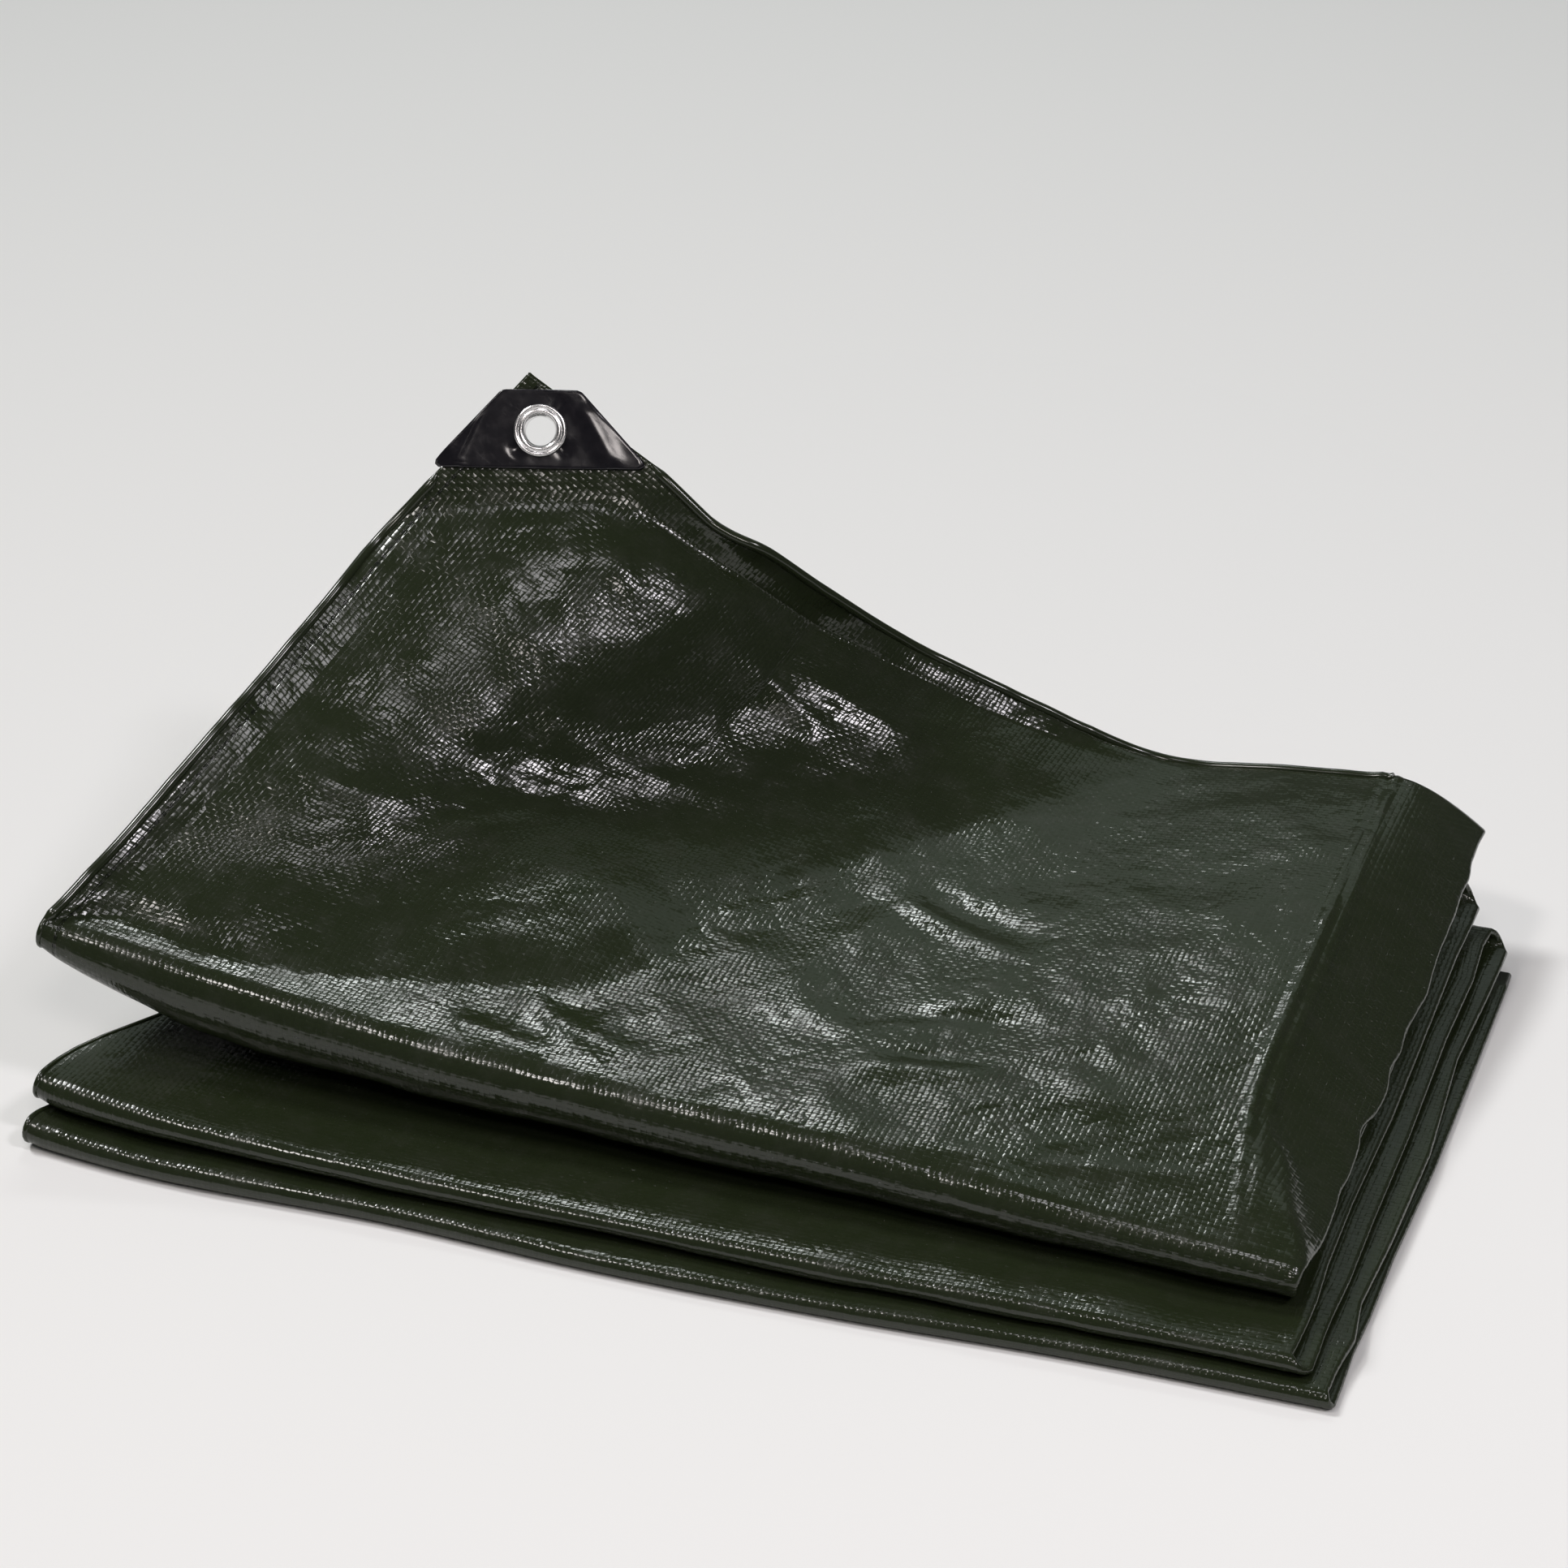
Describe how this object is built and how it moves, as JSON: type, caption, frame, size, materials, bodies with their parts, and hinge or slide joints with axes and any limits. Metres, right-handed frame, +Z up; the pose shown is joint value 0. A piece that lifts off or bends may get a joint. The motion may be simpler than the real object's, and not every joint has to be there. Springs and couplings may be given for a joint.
{
  "type": "folded tarp",
  "caption": "Woven polyethylene tarpaulin folded to a flat packet, one reinforced corner with an eyelet lifted at the back.",
  "frame": {"origin": "middle of the footprint, on the surface it rests on", "axes": "+X along the front folds to the hairpin edge, +Y to the back, +Z up; the lifted corner is at -X, +Y"},
  "size_m": [0.475, 0.3436, 0.2073],
  "materials": {
    "cloth": "olive woven polyethylene, satin",
    "patch": "glossy black film",
    "eyelet": "bright"
  },
  "bodies": {
    "root": {"tarp": "cloth", "corner_patch_front": "patch", "corner_patch_back": "patch", "eyelet": "eyelet", "eyelet_washer": "eyelet"}
  },
  "joints": []
}
